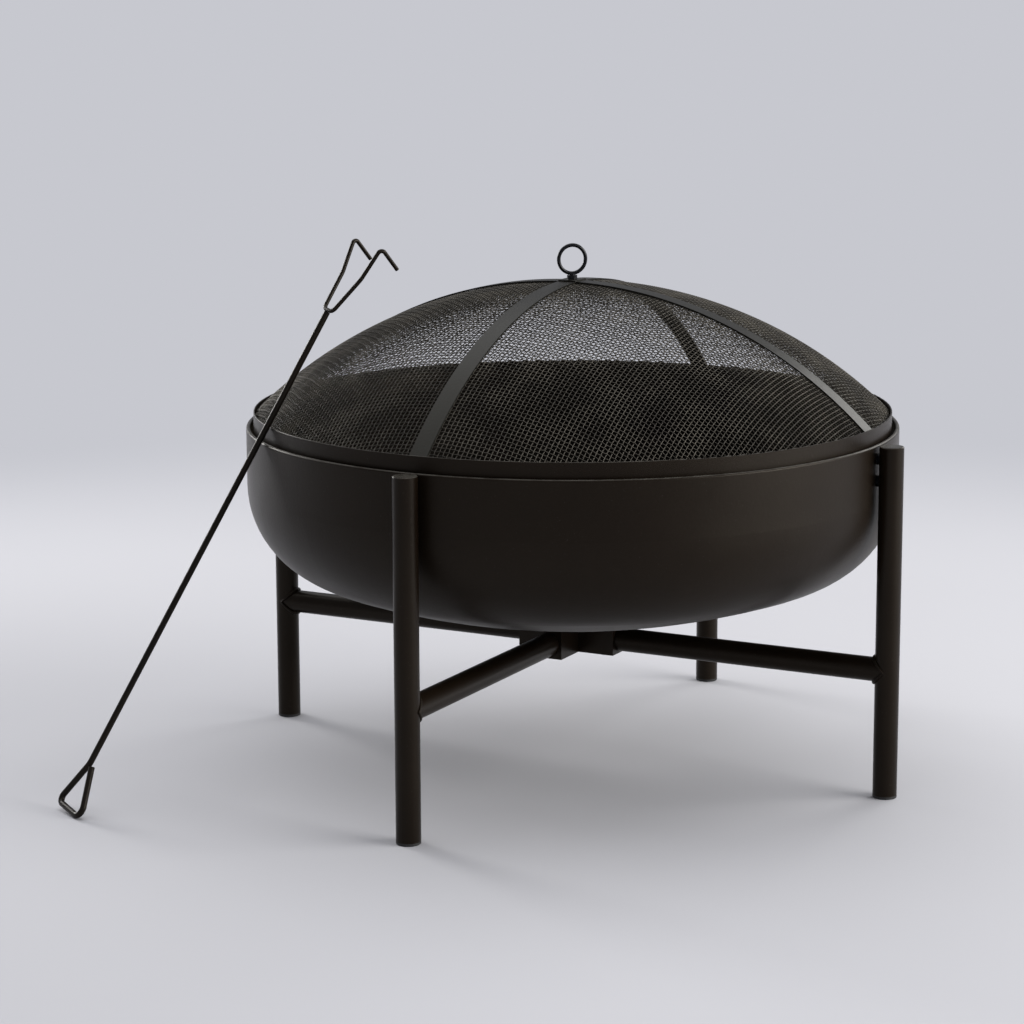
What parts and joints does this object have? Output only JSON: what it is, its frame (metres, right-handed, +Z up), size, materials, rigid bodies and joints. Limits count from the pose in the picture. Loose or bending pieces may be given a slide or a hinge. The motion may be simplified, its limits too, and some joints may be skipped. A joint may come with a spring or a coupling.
{
  "type": "fire pit",
  "caption": "Round steel fire bowl on four tube legs with crossed arms, a lift-off domed mesh screen with a ring handle, a log grate and a leaning fork poker.",
  "frame": {"origin": "on the floor, on the axis of the fire bowl", "axes": "+Z up along the axis of the bowl; +X the way the leaning poker points, so the poker stands at the -X side; the legs stand at 45 degrees to X and Y"},
  "size_m": [0.9218, 0.7, 0.5762],
  "materials": {
    "powder_coat": "matte black high-temperature powder coat",
    "frame_coat": "satin black powder coat on tube",
    "mesh_wire": "black coated woven steel wire",
    "strap_coat": "matte black coated steel strip",
    "zinc": "bright zinc plated",
    "black_oxide": "black oxide, slightly glossy",
    "glide_plastic": "moulded black polyamide",
    "bare_iron": "heat-darkened steel bar",
    "poker_coat": "satin black coated rod"
  },
  "bodies": {
    "stand": {"bowl": "powder_coat", "leg_front_left": "frame_coat", "leg_front_right": "frame_coat", "leg_back_right": "frame_coat", "leg_back_left": "frame_coat", "leg_caps": "frame_coat", "foot_glides": "glide_plastic", "arm_front_left": "frame_coat", "arm_front_right": "frame_coat", "arm_back_right": "frame_coat", "arm_back_left": "frame_coat", "arm_welds": "frame_coat", "hub_socket": "frame_coat", "hub_screws": "zinc", "hub_inserts": "zinc", "leg_spacers": "zinc", "leg_screws": "black_oxide", "leg_inserts": "zinc", "screen_rests": "powder_coat"},
    "screen": {"screen_band": "powder_coat", "mesh_retainer": "powder_coat", "spark_mesh": "mesh_wire", "strap_lower": "strap_coat", "strap_upper": "strap_coat", "ring_handle": "black_oxide", "collar_nut": "black_oxide", "under_washer": "zinc", "lock_nut": "zinc"},
    "grate": {"grate_ring": "bare_iron", "grate_bars": "bare_iron", "grate_cross_bars": "bare_iron", "grate_feet": "bare_iron"},
    "poker": {"poker_rod": "poker_coat", "poker_fork": "poker_coat"}
  },
  "joints": [
    {"name": "screen_lift", "type": "slide", "parent": "stand", "child": "screen", "axis": [0.682, 0, 0.7314], "range_m": [0, 0.45]},
    {"name": "grate_lift", "type": "slide", "parent": "stand", "child": "grate", "axis": [0, 0, 1], "range_m": [0, 0.18]},
    {"name": "poker_lift", "type": "slide", "parent": "stand", "child": "poker", "axis": [0, 0, 1], "range_m": [0, 0.3]}
  ]
}
